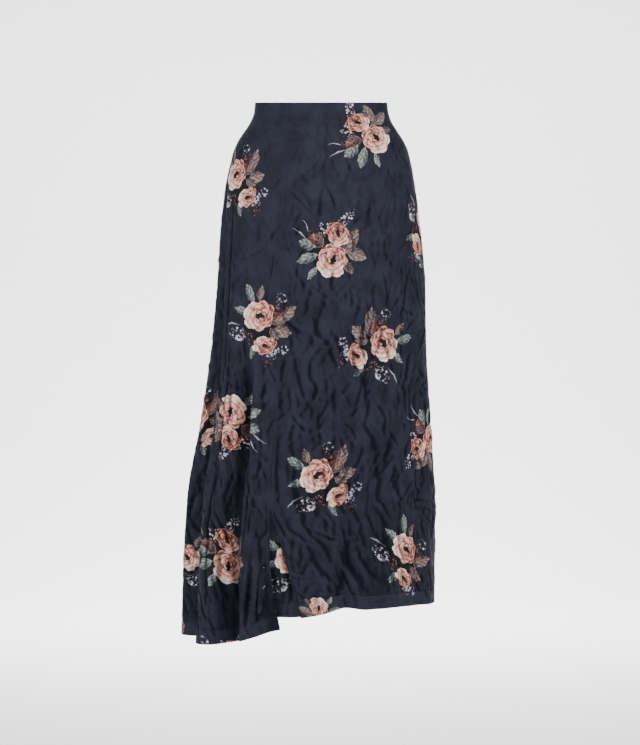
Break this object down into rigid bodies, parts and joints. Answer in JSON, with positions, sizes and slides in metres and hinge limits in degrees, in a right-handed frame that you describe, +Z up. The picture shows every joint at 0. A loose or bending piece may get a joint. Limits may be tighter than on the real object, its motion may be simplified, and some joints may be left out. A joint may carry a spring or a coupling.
{
  "type": "draped midi skirt",
  "caption": "Hollow worn midi skirt of satin panels, close at the waist, flaring to an uneven folded hem, with a side-front slit over an underlap and a back zip.",
  "frame": {"origin": "centre of the waist opening, at the height of its sides and back", "axes": "+Z up along the wearer, out of the waist; -Y to the wearer's front; +X to the wearer's left"},
  "size_m": [0.4623, 0.3326, 0.9731],
  "materials": {
    "satin": "soft satin",
    "zip_tape": "matte",
    "zip_enamel": "satin"
  },
  "bodies": {
    "skirt": {"front_panel": "satin", "drape_panel": "satin", "back_right_panel": "satin", "back_left_panel": "satin", "slit_underlap": "satin", "zip_tape_left": "zip_tape", "zip_tape_right": "zip_tape", "zip_slider": "zip_enamel"},
    "pull_tab": {"zip_pull": "zip_enamel"}
  },
  "joints": [
    {"name": "pull_swing", "type": "hinge", "parent": "skirt", "child": "pull_tab", "pos_m": [0.00032, 0.09391, -0.00684], "axis": [1, 0, 0], "range_deg": [0, 150]}
  ]
}
